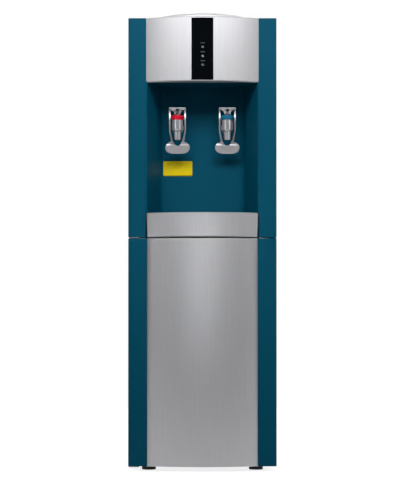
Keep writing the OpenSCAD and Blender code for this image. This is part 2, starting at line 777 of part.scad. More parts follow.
// Compressor: two drawn steel shells with a weld flange, on a cross-shaped foot plate, with a
// terminal cover and stubs for the discharge and the suction line
comp_x = 18;
comp_z0 = foot_h + sheet + 12;
discharge_z = comp_z0 + comp_h * 2 / 3;
riser_x = side_x - 19;
mount_dx = 62;
mount_dy = 36;
module both_halves() {
    translate([comp_x, comp_y, 0]) {
        children();
        mirror([0, 1, 0]) children();
    }
}
module compressor() {
    seam = comp_z0 + comp_h * 0.58;
    round_r = 22;
    color(dark) {
        translate([comp_x, comp_y, 0]) rotate_extrude() {
            translate([0, comp_z0 + 4]) square([comp_r - round_r, comp_h - 4]);
            translate([0, comp_z0 + 4 + round_r]) square([comp_r, comp_h - 4 - 2 * round_r]);
            for (z = [comp_z0 + 4 + round_r, comp_z0 + comp_h - round_r]) intersection() {
                translate([comp_r - round_r, z]) circle(round_r);
                translate([0, comp_z0]) square([comp_r, comp_h + 4]);
            }
            translate([0, seam]) square([comp_r + 3, 4]);
        }
        difference() {
            block([comp_x - mount_dx - 12, comp_y - mount_dy - 10, comp_z0 + 1],
                [comp_x + mount_dx + 12, comp_y + mount_dy + 10, comp_z0 + 4]);
            both_halves() block([-mount_dx + 12, mount_dy - 10, comp_z0],
                [mount_dx - 12, mount_dy + 11, comp_z0 + 5]);
            for (x = [-mount_dx, mount_dx], y = [-mount_dy, mount_dy])
                bar_z(comp_z0, comp_z0 + 5, comp_x + x, comp_y + y, 6.5);
        }
        block([comp_x - comp_r - 16, comp_y - 20, comp_z0 + 34],
            [comp_x - comp_r + 6, comp_y + 20, comp_z0 + 78]);
    }
    color(copper) {
        bar_x(comp_x + comp_r - 4, comp_x + comp_r + 8, comp_y, discharge_z, 3.5);
        bar_y(comp_y, line_y - line_bend, suction_x, suction_in_z, line_r + 0.6);
    }
}

// Rubber grommets that carry the compressor on the base pan
module compressor_grommets() {
    pan_top = foot_h + sheet;
    color(rubber) for (x = [-mount_dx, mount_dx], y = [-mount_dy, mount_dy])
        translate([comp_x + x, comp_y + y, 0]) rotate_extrude() polygon([
            [2.5, pan_top], [11, pan_top], [9, pan_top + 3], [11, comp_z0 + 1],
            [6.3, comp_z0 + 1], [6.3, comp_z0 + 4], [10, comp_z0 + 4], [10, comp_z0 + 8],
            [2.5, comp_z0 + 8]
        ]);
}

// Condenser: one tube bent to and fro, with a riser from the compressor and a tail to the drier
rack_y = back_y + rack_d - rack_tube_r - 2 * rack_wire_r;
rack_z0 = bay_top + 35;
rack_half = side_x - 50;
drier_x = -side_x + 37;
drier_y = back_y - 18;
drier_r = 8;
drier_z = [96, 182];
rack_bend = 12;
module condenser_tube() {
    turn_r = rack_pitch / 2;
    top = rack_z0 + (rack_runs - 1) * rack_pitch;
    color(rubber) {
        for (i = [1 : rack_runs - 2])
            bar_x(-rack_half, rack_half, rack_y, rack_z0 + i * rack_pitch, rack_tube_r);
        for (i = [0 : rack_runs - 2]) {
            right = (rack_runs - 2 - i) % 2 == 1;
            translate([right ? rack_half : -rack_half, rack_y, rack_z0 + (i + 0.5) * rack_pitch])
                rotate([90, 0, 0]) rotate([0, 0, right ? -90 : 90])
                    rotate_extrude(angle = 180) translate([turn_r, 0]) circle(rack_tube_r);
        }
        pipe([[-rack_half, rack_y, top], [riser_x, rack_y, top], [riser_x, rack_y, discharge_z],
            [riser_x, comp_y, discharge_z], [comp_x + comp_r + 8, comp_y, discharge_z]],
            rack_tube_r, rack_bend);
        pipe([[rack_half, rack_y, rack_z0], [drier_x, rack_y, rack_z0],
            [drier_x, rack_y, drier_z[1] + 18], [drier_x, drier_y, drier_z[1] + 18],
            [drier_x, drier_y, drier_z[1] + 2]], rack_tube_r, rack_bend - 1);
    }
}

// Wires welded across both faces of the condenser tube
module condenser_wires() {
    z0 = rack_z0 - 6;
    z1 = rack_z0 + (rack_runs - 1) * rack_pitch + 6;
    off = rack_tube_r + rack_wire_r;
    color(rubber) for (i = [0 : rack_wires - 1], y = [rack_y - off, rack_y + off])
        bar_z(z0, z1, (i - (rack_wires - 1) / 2) * rack_wire_pitch, y, rack_wire_r);
}

// Four moulded clips that hold the condenser off the back panel
module condenser_clips() {
    color(dark) for (x = [-rack_half + 6, rack_half - 6], i = [2, rack_runs - 3])
        translate([x, 0, rack_z0 + i * rack_pitch]) difference() {
            union() {
                block([-5, back_y, -7], [5, back_y + 3, 15]);
                block([-4, back_y + 2, -5], [4, rack_y + rack_tube_r + 1.5, 5]);
            }
            bar_x(-6, 6, rack_y, 0, rack_tube_r);
            block([-6, rack_y, -0.8 * rack_tube_r], [6, rack_y + 6, 0.8 * rack_tube_r]);
        }
}

// Filter drier: a spun copper cartridge
module filter_drier() {
    color(copper) translate([drier_x, drier_y, 0]) rotate_extrude() polygon([
        [0, drier_z[0]], [2, drier_z[0]], [2, drier_z[0] + 8], [drier_r, drier_z[0] + 18],
        [drier_r, drier_z[1] - 12], [3.5, drier_z[1] - 4], [3.5, drier_z[1] + 2],
        [0, drier_z[1] + 2]
    ]);
}

// Suction line from the coil down to the compressor, and the thin capillary up from the drier
line_r = 3.2;
line_y = back_y - 12;
suction_z = coil_z0 + 2.25 * coil_pitch;
suction_x = 66;
jog_z = shelf_z + 60;
suction_in_z = discharge_z - 40;
line_bend = 10;
capillary_r = 1;
capillary_x = -8;
capillary_z = coil_z0 + 0.25 * coil_pitch;
module suction_line() {
    coil_y = seat_y + coil_mid + coil_r + gap;
    color(copper) {
        pipe([[0, coil_y, suction_z], [0, line_y, suction_z],
            [0, line_y, jog_z], [suction_x, line_y, jog_z],
            [suction_x, line_y, suction_in_z], [suction_x, line_y - line_bend, suction_in_z]],
            line_r, line_bend);
        pipe([[drier_x, drier_y, drier_z[0] + 0.5], [drier_x, drier_y, drier_z[0] - 14],
            [drier_x + 20, drier_y, drier_z[0] - 14], [drier_x + 20, drier_y, capillary_z],
            [capillary_x, drier_y, capillary_z], [capillary_x, coil_y, capillary_z]],
            capillary_r, 5);
    }
}

// Housings of the two rocker switches, clipped into the back panel
rocker_w = 14.4;
rocker_h = 22;
rocker_y = back_y - 3;
rocker_tilt = 10;
module switch_housings() {
    color(dark) for (x = switch_x) translate([x, 0, switch_z]) difference() {
        union() {
            block([-switch_w / 2, back_y, -switch_h / 2], [switch_w / 2, back_y + 2, switch_h / 2]);
            block([-switch_w / 2 + 2, back_y - 22, -switch_h / 2 + 2],
                [switch_w / 2 - 2, back_y, switch_h / 2 - 2]);
            for (z = [-8, 0, 8]) block([-3, back_y - 30, z - 0.5], [3, back_y - 22, z + 0.5]);
        }
        block([-rocker_w / 2 - 0.4, back_y - 14, -rocker_h / 2 - 0.6],
            [rocker_w / 2 + 0.4, back_y + 3, rocker_h / 2 + 0.6]);
        bar_x(-switch_w / 2 + 1, switch_w / 2 - 1, rocker_y, 0, 1.55);
    }
}

// Rocker of a switch, drawn in its off position, with its two pivot stubs
module rocker(x) {
    half = rocker_h / 2;
    color(rubber) translate([x, rocker_y, switch_z]) rotate([rocker_tilt, 0, 0]) {
        along_x(-rocker_w / 2, rocker_w / 2) intersection() {
            polygon([[-8, -3], [0, -half - 1], [7, -half - 1], [4.2, 0], [7, half + 1],
                [0, half + 1], [-8, 3]]);
            circle(half);
        }
        bar_x(-switch_w / 2 + 1.4, switch_w / 2 - 1.4, 0, 0, 1.5);
    }
}
module hot_switch() {
    rocker(switch_x[0]);
}
module cold_switch() {
    rocker(switch_x[1]);
}

// Thermostat behind the back panel, and its knob
spindle_r = 3;
module thermostat() {
    color(zinc) difference() {
        union() {
            block([knob_x - 17, back_y - 22, switch_z - 14], [knob_x + 17, back_y - 3, switch_z + 14]);
            bar_y(back_y - 3.5, back_y - sheet, knob_x, switch_z, 7);
        }
        bar_y(back_y - 15, back_y + 1, knob_x, switch_z, spindle_r + fit);
    }
}
module thermostat_knob() {
    knob_r = 12;
    color(dark) {
        bar_y(back_y - 14.5, back_y + 2, knob_x, switch_z, spindle_r);
        difference() {
            bar_y(back_y + 0.5, back_y + 12, knob_x, switch_z, knob_r);
            for (a = [0 : 20 : 340]) translate([knob_x, 0, switch_z]) rotate([0, a, 0])
                bar_y(back_y + 2, back_y + 13, knob_r + 0.6, 0, 1.2);
            block([knob_x - 0.7, back_y + 11, switch_z + 2], [knob_x + 0.7, back_y + 13, switch_z + 13]);
        }
    }
}

// Inlet of the mains lead: a moulded socket in the rear edge of the base pan
module power_inlet() {
    x = -side_x + 59;
    z = foot_h + pan_h + 20;
    color(dark) difference() {
        block([x - 15, back_y - 24, foot_h + sheet], [x + 15, back_y - sheet, z + 13]);
        block([x - 11.5, back_y - 18, z - 8], [x + 11.5, back_y + 1, z + 8]);
    }
    color(zinc) for (dx = [-6, 0, 6])
        block([x + dx - 1, back_y - 19, z - 3], [x + dx + 1, back_y - 9, z + 3]);
}

// Pan-head screws round the back panel
module panel_screws() {
    color(zinc) for (x = [-screw_x, screw_x], z = screw_z)
        translate([x, back_y, z]) rotate([-90, 0, 0]) difference() {
            rotate_extrude() polygon([[0, -8], [screw_r, -8], [screw_r, 0], [4, 0], [4, 1.2],
                [2.8, 2.4], [0, 2.6]]);
            for (a = [0, 90]) rotate(a) block([-2, -0.4, 1.4], [2, 0.4, 3]);
        }
}

// Nuts and washers that hold the taps from behind the niche wall
module tap_nuts() {
    color(zinc) for (x = [-tap_x, tap_x]) translate([x, niche_back_y + wall, shank_z])
        rotate([-90, 0, 0]) difference() {
            union() {
                cylinder(r = 12.5, h = 1.2);
                translate([0, 0, 1.2]) cylinder(r = 11.5, h = 6, $fn = 6);
            }
            translate([0, 0, -1]) cylinder(r = thread_r + fit, h = 9);
        }
}

// Tap body: a barrel that steps down to the nozzle, and a shank through the niche wall
nozzle_z0 = ring_top - 51.4;
barrel_z0 = ring_top - 32.4;
barrel_z1 = ring_top - 9.5;
seat_z = barrel_z0 - 3.3;
chamber_r = 7;
module tap_body(x) {
    rear = niche_back_y - tap_y;
    color(chrome) translate([x, tap_y, 0]) difference() {
        union() {
            rotate_extrude() polygon([
                [0, nozzle_z0], [nozzle_r - 0.9, nozzle_z0], [nozzle_r - 0.5, nozzle_z0 + 0.6],
                [nozzle_r, barrel_z0 - 0.5], [barrel_r - 0.9, barrel_z0], [barrel_r, barrel_z0 + 1.2],
                [barrel_r, barrel_z1], [0, barrel_z1]
            ]);
            bar_y(0, rear - 4, 0, shank_z, 7);
            bar_y(rear - 4, rear, 0, shank_z, 13);
            bar_y(rear - 1, rear + 18, 0, shank_z, thread_r);
            bar_y(rear + 17, rear + 30, 0, shank_z, hose_in - fit);
        }
        rotate_extrude() polygon([
            [0, nozzle_z0 - 1], [4.5, nozzle_z0 - 1], [4.5, seat_z], [chamber_r, seat_z + 1.6],
            [chamber_r, barrel_z1 - 5.2], [9, barrel_z1 - 5.2], [9, barrel_z1 + 1],
            [0, barrel_z1 + 1]
        ]);
        bar_y(0, rear + 31, 0, shank_z, 2.8);
        block([-1.7, -nozzle_r - 1, barrel_z0 - 3.4], [1.7, -nozzle_r + 1, barrel_z0 - 1]);
    }
}

// Coloured ring: the bonnet of the valve, with a skirt in the body and a bore for the stem
module tap_ring(x) {
    rim = 1.6;
    translate([x, tap_y, 0]) rotate_extrude() {
        polygon([
            [stem_r + fit, barrel_z1 - 5], [8.95, barrel_z1 - 5], [8.95, barrel_z1],
            [barrel_r - 0.3, barrel_z1], [ring_r - 0.5, barrel_z1 + 1.6],
            [ring_r, barrel_z1 + 3], [ring_r, ring_top - rim], [ring_r - rim, ring_top],
            [stem_r + fit, ring_top]
        ]);
        translate([ring_r - rim, ring_top - rim]) circle(rim);
    }
}

// Valve stem: a round rod with the seal at its foot and a cross hole for the lever pin
pin_z = ring_top + 7.3;
pin_r = 1.5;
module tap_stem(x) {
    color(zinc) translate([x, tap_y, 0]) difference() {
        rotate_extrude() polygon([
            [0, seat_z + 0.6], [4.4, seat_z + 0.6], [chamber_r - 0.6, seat_z + 2.6],
            [chamber_r - 0.6, seat_z + 6], [stem_r, seat_z + 6.8], [stem_r, pin_z + 3],
            [stem_r - 0.6, pin_z + 3.6], [0, pin_z + 3.6]
        ]);
        bar_x(-stem_r - 1, stem_r + 1, 0, pin_z, pin_r + fit);
    }
}

// Return spring between the seal and the ring
spring_wire_r = 0.5;
module tap_spring(x) {
    low = seat_z + 6.8 + spring_wire_r + 0.2;
    high = barrel_z1 - 5 - spring_wire_r - 0.2;
    color(zinc) translate([x, tap_y, low])
        helix(stem_r + spring_wire_r + 0.8, spring_wire_r, (high - low) / 5, 5, 24, 6);
}

// Pin through the lever and the stem
cheek_out = 6.5;
cheek_in = 3.5;
module tap_pin(x) {
    color(zinc) bar_x(x - cheek_out - 0.4, x + cheek_out + 0.4, tap_y, pin_z, pin_r);
}

// Lever: a top plate with two cam cheeks, and two arms down past the body to a press plate
arm_out = 18;
arm_w = 3.4;
plate_z0 = pin_z + 5.4;
plate_z1 = plate_z0 + 3.6;
module lever_front(mid_z) {
    knee = barrel_z0;
    low = mid_z + 12;
    difference() {
        union() {
            polygon([
                [-arm_out, plate_z1], [-arm_out, knee], [-arm_out + 4.4, low], [-6, mid_z],
                [6, mid_z], [arm_out - 4.4, low], [arm_out, knee], [arm_out, plate_z1]
            ]);
            intersection() {
                translate([0, mid_z]) oval(paddle_w, paddle_h, 0.41 * paddle_h);
                translate([-paddle_w, mid_z - paddle_h / 2 + 1.2]) square([2 * paddle_w, paddle_h]);
            }
        }
        polygon([
            [-arm_out + arm_w, plate_z0], [-arm_out + arm_w, knee], [-arm_out + arm_w + 4, low + 4],
            [-7, mid_z + 9], [7, mid_z + 9], [arm_out - arm_w - 4, low + 4],
            [arm_out - arm_w, knee], [arm_out - arm_w, plate_z0]
        ]);
        translate([0, mid_z + 11.5]) circle(7.4);
    }
}
module lever_side(mid_z) {
    polygon([
        [-5.5, plate_z1], [-5.5, plate_z0 - 3], [-2.5, ring_top - 12], [7, mid_z + 18],
        [9.5, mid_z + 6], [10, mid_z - paddle_h / 2], [12.6, mid_z - paddle_h / 2],
        [13, mid_z + 8], [11.5, mid_z + 20], [3.5, ring_top - 12], [5.5, plate_z0 - 3],
        [5.5, plate_z1]
    ]);
}
module tap_lever(x) {
    mid_z = pin_z - lever_drop;
    cam = [-cam_e * cos(lever_swing / 2), pin_z + cam_e * sin(lever_swing / 2)];
    color(chrome) translate([x, tap_y, 0]) {
        intersection() {
            along_y(-8, 16) lever_front(mid_z);
            along_x(-paddle_w, paddle_w) lever_side(mid_z);
        }
        intersection() {
            along_y(-12, 12) polygon([[-19.2, plate_z1], [-18.4, plate_z0], [18.4, plate_z0],
                [19.2, plate_z1]]);
            translate([0, 0, plate_z0 - 1]) linear_extrude(6)
                round_rect([-19, -11], [19, 11], 5);
        }
        both_sides() difference() {
            union() {
                along_x(cheek_in, cheek_out) {
                    translate(cam) circle(cam_r);
                    polygon([[cam[0] - cam_r, cam[1]], [cam[0], cam[1]], [0, pin_z - 3.4],
                        [4.5, pin_z - 2], [5.5, plate_z0], [cam[0] - cam_r, plate_z0]]);
                }
                along_y(-3.5, 3.5) polygon([[cheek_in, plate_z0], [14.8, plate_z0],
                    [cheek_out, plate_z0 - 6], [cheek_in, plate_z0 - 6]]);
            }
            bar_x(cheek_in - 1, cheek_out + 1, 0, pin_z, pin_r);
            block([cheek_in - 1, -20, plate_z0 + 0.5], [cheek_out + 1, 20, plate_z0 + 20]);
        }
    }
}
module hot_tap_body() {
    tap_body(-tap_x);
}
module hot_tap_ring() {
    color([0.78, 0.10, 0.20]) tap_ring(-tap_x);
}
module hot_tap_stem() {
    tap_stem(-tap_x);
}
module hot_tap_spring() {
    tap_spring(-tap_x);
}
module hot_tap_lever() {
    tap_lever(-tap_x);
}
module hot_tap_pin() {
    tap_pin(-tap_x);
}
module cold_tap_body() {
    tap_body(tap_x);
}
module cold_tap_ring() {
    color([0.11, 0.43, 0.55]) tap_ring(tap_x);
}
module cold_tap_stem() {
    tap_stem(tap_x);
}
module cold_tap_spring() {
    tap_spring(tap_x);
}
module cold_tap_lever() {
    tap_lever(tap_x);
}
module cold_tap_pin() {
    tap_pin(tap_x);
}

// Door frame: two hollow stiles and two rails, with the bed of the silver skin and hinge bores
liner_plate_t = 2;
frame_back = door_back - liner_plate_t;
door_bed = strip_y + 5;
stile_x = mouth_half - 12;
rail_h = 26;
boss_r = 7;
grip_r = 9;
grip_z = [seam_z - 238, seam_z - 78];
module door_frame() {
    rear = frame_back + 1;
    color(teal) difference() {
        translate([0, 0, door_z0]) linear_extrude(door_z1 - door_z0) {
            round_rect([-side_x, strip_y], [side_x, frame_back], edge_r);
            translate([stile_x, frame_back - edge_r - 1]) square([side_x - stile_x, edge_r + 1]);
        }
        block([-mouth_half, strip_y - 1, door_z0 - 1], [mouth_half, door_bed, door_z1 + 1]);
        block([-stile_x, strip_y - 1, door_z0 + rail_h], [stile_x, rear, door_z1 - rail_h]);
        for (z = [door_z0 + wall, door_z1 - rail_h + wall])
            block([-stile_x + wall, door_bed + wall, z],
                [stile_x - wall, rear, z + rail_h - 2 * wall]);
        difference() {
            both_sides() block([mouth_half + wall, strip_y + wall, door_z0 + wall],
                [side_x - wall, rear, door_z1 - wall]);
            for (z = [door_z0, door_z1 - pin_in - 4])
                bar_z(z, z + pin_in + 4, hinge_x, hinge_y, boss_r);
            block([side_x - grip_r - 5, strip_y, grip_z[0] - wall],
                [side_x, rear + 1, grip_z[1] + wall]);
        }
        for (z = [door_z0 - 1, door_z1 - pin_in - 0.5])
            bar_z(z, z + pin_in + 1.5, hinge_x, hinge_y, hinge_pin_r + fit);
        bar_z(grip_z[0], grip_z[1], side_x + 3, strip_y + door_t / 2 + 1, grip_r);
        along_x(-side_x - 1, side_x + 1)
            polygon([[strip_y - 1, door_z1 - bevel], [strip_y - 1, door_z1 + 1],
                [strip_y + bevel, door_z1 + 1], [strip_y, door_z1 - bevel + 1]]);
    }
}

// Silver skin of the door: a bowed shell with closed edges
module door_panel() {
    color(silver) difference() {
        bowed(mouth_half, door_bed, door_z0, door_z1, 1);
        bow_room(mouth_half - 5, door_bed + 1, door_z0 + 4, door_z1 - 4);
    }
}

// Inner plate of the door, with a raised border
module door_liner() {
    color(white) difference() {
        block([-side_x + 6, frame_back, door_z0 + 4], [side_x - 6, door_back, door_z1 - 4]);
        block([-liner_half + 12, frame_back + 1, door_z0 + 44],
            [liner_half - 12, door_back + 1, door_z1 - 38]);
    }
}

// Soft gasket round the cabinet mouth
gasket_w = 8;
module door_gasket() {
    y0 = door_back;
    y1 = shell_y - gap;
    x = liner_half + 2;
    z0 = liner_z0 - 6 - gasket_w;
    z1 = liner_z1 + 6;
    color(rubber) difference() {
        block([-x - gasket_w, y0, z0], [x + gasket_w, y1, z1]);
        block([-x, y0 - 1, z0 + gasket_w], [x, y1 + 1, z1 - gasket_w]);
    }
}

// Drip tray: a basin that follows the niche, with a ledge for the grille
tray_gap = 1;
tray_wall = 2;
tray_rim = tray_top - 6;
grille_t = 3;
tray_front_y = strip_y + 5;
module drip_tray() {
    z0 = floor_top + gap;
    inset = -tray_gap - tray_wall;
    color(dark) difference() {
        niche_solid(-tray_gap, tray_front_y, z0, tray_rim);
        niche_solid(inset, tray_front_y + tray_wall, tray_rim - grille_t, tray_rim + 1);
        niche_solid(inset - 2, tray_front_y + tray_wall + 2, z0 + tray_wall,
            tray_rim - grille_t + 1);
    }
}

// Silver front of the tray: a bowed shell whose sides draw in towards the bottom
tray_front_half = mouth_half + 1;
module tray_front() {
    z0 = seam_z + gap;
    low = tray_front_half - tray_draft;
    color(silver) intersection() {
        difference() {
            bowed(tray_front_half, tray_front_y, z0, tray_top, 1);
            bow_room(tray_front_half - 6, tray_front_y + 1, z0 + 3, tray_top - 3);
        }
        along_y(strip_y - bow - 1, tray_front_y + 1) polygon([[-low, z0], [low, z0],
            [tray_front_half, tray_top], [-tray_front_half, tray_top]]);
    }
}

// Grille: a slotted plate laid on the ledge of the basin
module drip_grille() {
    inset = -tray_gap - tray_wall - gap;
    count = 2 * floor((niche_back_half - 12) / slot_pitch) + 1;
    color(zinc) difference() {
        niche_solid(inset, tray_front_y + tray_wall + gap, tray_rim - grille_t, tray_rim);
        for (i = [0 : count - 1]) translate([(i - (count - 1) / 2) * slot_pitch, 0, 0])
            block([-slot_w / 2, strip_y + 18, tray_rim - grille_t - 1],
                [slot_w / 2, niche_back_y - 12, tray_rim + 1]);
    }
}

base_pan();
feet();
left_side_panel();
right_side_panel();
back_panel();
top_cover();
bottle_seat();
upper_front();
tap_niche();
control_fascia();
indicator_window();
indicator_lenses();
control_board();
partition_shelf();
tank_shelf();
cabinet_liner();
cabinet_shelf();
hinge_brackets();
cold_tank();
tank_insulation();
evaporator_coil();
hot_tank();
hot_tank_stand();
water_hoses();
drain_cap();
compressor();
compressor_grommets();
condenser_tube();
condenser_wires();
condenser_clips();
filter_drier();
suction_line();
switch_housings();
thermostat();
power_inlet();
panel_screws();
tap_nuts();
hot_tap_body();
hot_tap_ring();
hot_tap_stem();
hot_tap_spring();
hot_tap_lever();
hot_tap_pin();
cold_tap_body();
cold_tap_ring();
cold_tap_stem();
cold_tap_spring();
cold_tap_lever();
cold_tap_pin();
door_frame();
door_panel();
door_liner();
door_gasket();
drip_tray();
tray_front();
drip_grille();
hot_switch();
cold_switch();
thermostat_knob();
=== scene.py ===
import math
import bpy
import bmesh
from mathutils import Matrix, Vector


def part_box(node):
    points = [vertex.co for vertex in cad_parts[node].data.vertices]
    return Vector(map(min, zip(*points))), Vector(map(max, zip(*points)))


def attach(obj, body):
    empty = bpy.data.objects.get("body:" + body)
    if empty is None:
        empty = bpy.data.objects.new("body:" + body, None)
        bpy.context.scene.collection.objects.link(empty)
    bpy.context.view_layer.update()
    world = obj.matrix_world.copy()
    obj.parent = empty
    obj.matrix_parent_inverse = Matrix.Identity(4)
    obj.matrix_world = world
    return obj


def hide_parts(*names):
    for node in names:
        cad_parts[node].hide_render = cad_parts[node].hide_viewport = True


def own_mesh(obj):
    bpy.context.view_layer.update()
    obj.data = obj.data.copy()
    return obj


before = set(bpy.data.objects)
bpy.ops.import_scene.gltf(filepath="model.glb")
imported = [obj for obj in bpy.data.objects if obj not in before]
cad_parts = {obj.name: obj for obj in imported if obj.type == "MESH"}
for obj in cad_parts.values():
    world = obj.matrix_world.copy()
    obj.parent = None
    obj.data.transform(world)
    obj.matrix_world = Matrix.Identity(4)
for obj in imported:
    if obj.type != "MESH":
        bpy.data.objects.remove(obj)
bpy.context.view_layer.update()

# Base pan, back panel, shelves, hinge brackets and screws: zinc-plated sheet steel, pressed and
# folded, held by screws and spot welds. The plating has a faint spangle and cloudy gloss.
ZINC = (0.36, 0.37, 0.38)


def new_finish(name, colour, roughness, metallic=0.0, **sockets):
    """A material whose even values sit on the shader's own sockets."""
    finish = bpy.data.materials.new(name)
    finish.use_nodes = True
    shader = finish.node_tree.nodes["Principled BSDF"]
    shader.inputs["Base Color"].default_value = (*colour, 1)
    shader.inputs["Roughness"].default_value = roughness
    shader.inputs["Metallic"].default_value = metallic
    for socket, value in sockets.items():
        shader.inputs[socket.replace("_", " ")].default_value = value
    return finish


def pattern(finish, kind, scale, stretch=(1, 1, 1), **settings):
    """A texture in the piece's own metres, drawn out along an axis whose stretch is under 1."""
    nodes, links = finish.node_tree.nodes, finish.node_tree.links
    place = nodes.new("ShaderNodeTexCoord")
    mapping = nodes.new("ShaderNodeMapping")
    mapping.inputs["Scale"].default_value = stretch
    texture = nodes.new(kind)
    texture.inputs["Scale"].default_value = scale
    for socket, value in settings.items():
        texture.inputs[socket].default_value = value
    links.new(place.outputs["Object"], mapping.inputs["Vector"])
    links.new(mapping.outputs["Vector"], texture.inputs["Vector"])
    return texture


def shade(colour, factor):
    return tuple(channel * factor for channel in colour)


NOISE_LOW, NOISE_HIGH = 0.3, 0.7


def tint(finish, texture, dark, light, output=0):
    """Lets the colour run between two near shades with one output of a texture."""
    nodes, links = finish.node_tree.nodes, finish.node_tree.links
    ramp = nodes.new("ShaderNodeValToRGB")
    ramp.color_ramp.elements[0].position = NOISE_LOW
    ramp.color_ramp.elements[0].color = (*dark, 1)
    ramp.color_ramp.elements[1].position = NOISE_HIGH
    ramp.color_ramp.elements[1].color = (*light, 1)
    links.new(texture.outputs[output], ramp.inputs["Fac"])
    links.new(ramp.outputs["Color"], nodes["Principled BSDF"].inputs["Base Color"])


def gloss(finish, texture, low, high):
    """Lets the roughness run from low to high with a texture."""
    nodes, links = finish.node_tree.nodes, finish.node_tree.links
    span = nodes.new("ShaderNodeMapRange")
    span.inputs["From Min"].default_value = NOISE_LOW
    span.inputs["From Max"].default_value = NOISE_HIGH
    span.inputs["To Min"].default_value = low
    span.inputs["To Max"].default_value = high
    links.new(texture.outputs[0], span.inputs["Value"])
    links.new(span.outputs["Result"], nodes["Principled BSDF"].inputs["Roughness"])


def dress(finish, *names):
    """Gives solids of the frame their finish."""
    for name in names:
        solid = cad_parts[name]
        solid.data.materials.clear()
        solid.data.materials.append(finish)


zinc = new_finish("zinc_plated_steel", ZINC, roughness=0.42, metallic=0.7)
tint(zinc, pattern(zinc, "ShaderNodeTexVoronoi", scale=150), shade(ZINC, 0.88), shade(ZINC, 1.08),
     "Color")
gloss(zinc, pattern(zinc, "ShaderNodeTexNoise", scale=26, Detail=4.0), low=0.36, high=0.48)
dress(zinc, "base_pan", "back_panel", "partition_shelf", "tank_shelf", "hinge_brackets",
      "hot_tank_stand", "panel_screws", "tap_nuts", "thermostat")

# Feet, compressor grommets and door gasket: black rubber, moulded round steel studs or pushed
# into their holes. It is matte, with a pebbled skin and dusty scuffs.
RUBBER = (0.012, 0.012, 0.013)


def relief(finish, texture, depth, strength=1.0):
    """Raises the surface by a texture, to a depth in metres."""
    nodes, links = finish.node_tree.nodes, finish.node_tree.links
    bump = nodes.new("ShaderNodeBump")
    bump.inputs["Distance"].default_value = depth
    bump.inputs["Strength"].default_value = strength
    links.new(texture.outputs[0], bump.inputs["Height"])
    last = nodes["Principled BSDF"].inputs["Normal"]
    if last.links:
        links.new(last.links[0].from_socket, bump.inputs["Normal"])
    links.new(bump.outputs["Normal"], last)


rubber = new_finish("black_rubber", RUBBER, roughness=0.75)
scuffs = pattern(rubber, "ShaderNodeTexNoise", scale=140, Detail=5.0)
tint(rubber, scuffs, shade(RUBBER, 0.8), shade(RUBBER, 1.9))
gloss(rubber, scuffs, low=0.62, high=0.86)
relief(rubber, pattern(rubber, "ShaderNodeTexNoise", scale=900), depth=0.0002, strength=0.4)
dress(rubber, "feet", "compressor_grommets", "door_gasket")

# Side panels: two sheets of steel, folded at the front and the back and stove painted in teal.
# The paint has the fine orange peel of a sprayed coat, and runs round the folded edges.
TEAL = (0.001, 0.077, 0.134)
FOLD_R = 0.0006
WELD_GAP = 1e-6
FLAT_ANGLE = math.radians(1)
SHARP_ANGLE = math.radians(28)
ROUNDING_STEPS = 2


def soften(names, radius, body="root"):
    """Copies solids of the frame with the round edges that the tool or the fold gives them."""
    for name in names:
        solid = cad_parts[name]
        form = bmesh.new()
        form.from_mesh(solid.data)
        form.transform(solid.matrix_world)
        bmesh.ops.remove_doubles(form, verts=form.verts, dist=WELD_GAP)
        bmesh.ops.dissolve_limit(form, angle_limit=FLAT_ANGLE, verts=form.verts,
                                 edges=form.edges)
        for face in form.faces:
            face.smooth = True
        for edge in form.edges:
            edge.smooth = edge.calc_face_angle(0) < SHARP_ANGLE
        mesh = bpy.data.meshes.new(name + "_form")
        form.to_mesh(mesh)
        form.free()
        mesh.materials.append(solid.data.materials[0])
        piece = bpy.data.objects.new(name + "_form", mesh)
        bpy.context.scene.collection.objects.link(piece)
        rounding = piece.modifiers.new("rounding", "BEVEL")
        rounding.width = radius
        rounding.segments = ROUNDING_STEPS
        rounding.limit_method = "ANGLE"
        rounding.angle_limit = SHARP_ANGLE
        rounding.harden_normals = True
        rounding.use_clamp_overlap = False
        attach(piece, body)
        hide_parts(name)


teal_paint = new_finish("teal_paint", TEAL, roughness=0.44, Specular_IOR_Level=0.05)
tint(teal_paint, pattern(teal_paint, "ShaderNodeTexNoise", scale=5, Detail=2.0),
     shade(TEAL, 0.985), shade(TEAL, 1.015))
gloss(teal_paint, pattern(teal_paint, "ShaderNodeTexNoise", scale=60, Detail=4.0),
      low=0.41, high=0.47)
orange_peel = pattern(teal_paint, "ShaderNodeTexNoise", scale=420)
relief(teal_paint, orange_peel, depth=0.00006, strength=0.2)
dress(teal_paint, "left_side_panel", "right_side_panel")
soften(["left_side_panel", "right_side_panel"], FOLD_R)

# Compressor, condenser tube and condenser wires: steel, dipped in black enamel after welding.
# The enamel is thin and uneven, with runs towards the bottom and dust on the upper sides.
ENAMEL = (0.010, 0.010, 0.011)
enamel = new_finish("black_enamel", ENAMEL, roughness=0.35, Coat_Weight=0.2, Coat_Roughness=0.2)
runs = pattern(enamel, "ShaderNodeTexNoise", scale=45, stretch=(1, 1, 0.5), Detail=4.0)
tint(enamel, runs, shade(ENAMEL, 0.8), shade(ENAMEL, 2.2))
gloss(enamel, runs, low=0.26, high=0.5)
relief(enamel, pattern(enamel, "ShaderNodeTexNoise", scale=260), depth=0.0002, strength=0.25)
dress(enamel, "compressor", "condenser_tube", "condenser_wires")

# Evaporator coil, suction line, capillary and filter drier: drawn copper, brazed at the joints.
# The heat of brazing has darkened it unevenly.
COPPER = (0.62, 0.28, 0.15)
copper = new_finish("drawn_copper", COPPER, roughness=0.32, metallic=1.0)
tarnish = pattern(copper, "ShaderNodeTexNoise", scale=35, Detail=5.0)
tint(copper, tarnish, shade(COPPER, 0.45), COPPER)
gloss(copper, tarnish, low=0.48, high=0.26)
dress(copper, "evaporator_coil", "filter_drier", "suction_line")

